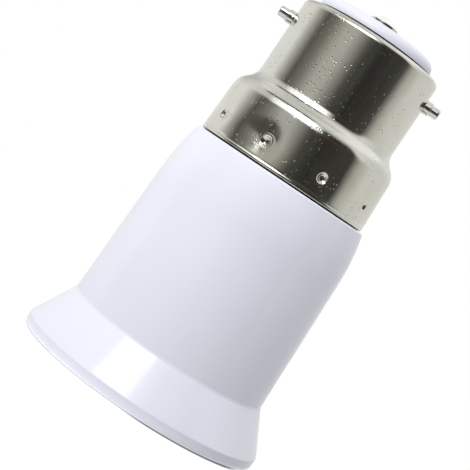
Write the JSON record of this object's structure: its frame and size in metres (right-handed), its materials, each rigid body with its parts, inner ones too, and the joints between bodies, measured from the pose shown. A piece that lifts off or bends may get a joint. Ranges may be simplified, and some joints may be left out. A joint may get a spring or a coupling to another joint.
{
  "type": "lamp socket adapter",
  "caption": "Flared white plastic lamp socket adapter with a nickel bayonet cap on top and a screw bulb socket below.",
  "frame": {"origin": "centre of the socket's rim, on the plane that the adapter stands on", "axes": "+Z from the rim to the bayonet cap, along the common axis; +X along the bayonet pins"},
  "size_m": [0.038, 0.038, 0.0624],
  "materials": {
    "white_plastic": "gloss",
    "nickel": "polished",
    "pin_metal": "satin",
    "tinned_brass": "satin",
    "solder": "satin",
    "screw_brass": "satin",
    "spring_bronze": "satin",
    "rivet_brass": "satin",
    "copper": "satin",
    "live_sleeve": "satin",
    "neutral_sleeve": "satin"
  },
  "bodies": {
    "adapter": {"housing": "white_plastic", "end_insulator": "white_plastic", "bayonet_shell": "nickel", "bayonet_pin_left": "pin_metal", "bayonet_pin_right": "pin_metal", "front_contact": "tinned_brass", "rear_contact": "tinned_brass", "front_solder": "solder", "rear_solder": "solder", "live_solder": "solder", "neutral_solder": "solder", "screw_shell": "screw_brass", "centre_rivet": "rivet_brass", "shell_rivets": "rivet_brass", "live_core": "copper", "neutral_core": "copper", "live_insulation": "live_sleeve", "neutral_insulation": "neutral_sleeve"},
    "contact_spring": {"centre_contact": "spring_bronze"}
  },
  "joints": [
    {"name": "centre_contact_press", "type": "hinge", "parent": "adapter", "child": "contact_spring", "pos_m": [-0.0042, 0, 0.026], "axis": [0, -1, 0], "range_deg": [0, 15], "stiffness_Nm_per_rad": 0.08, "deforming": ["centre_contact"]}
  ]
}
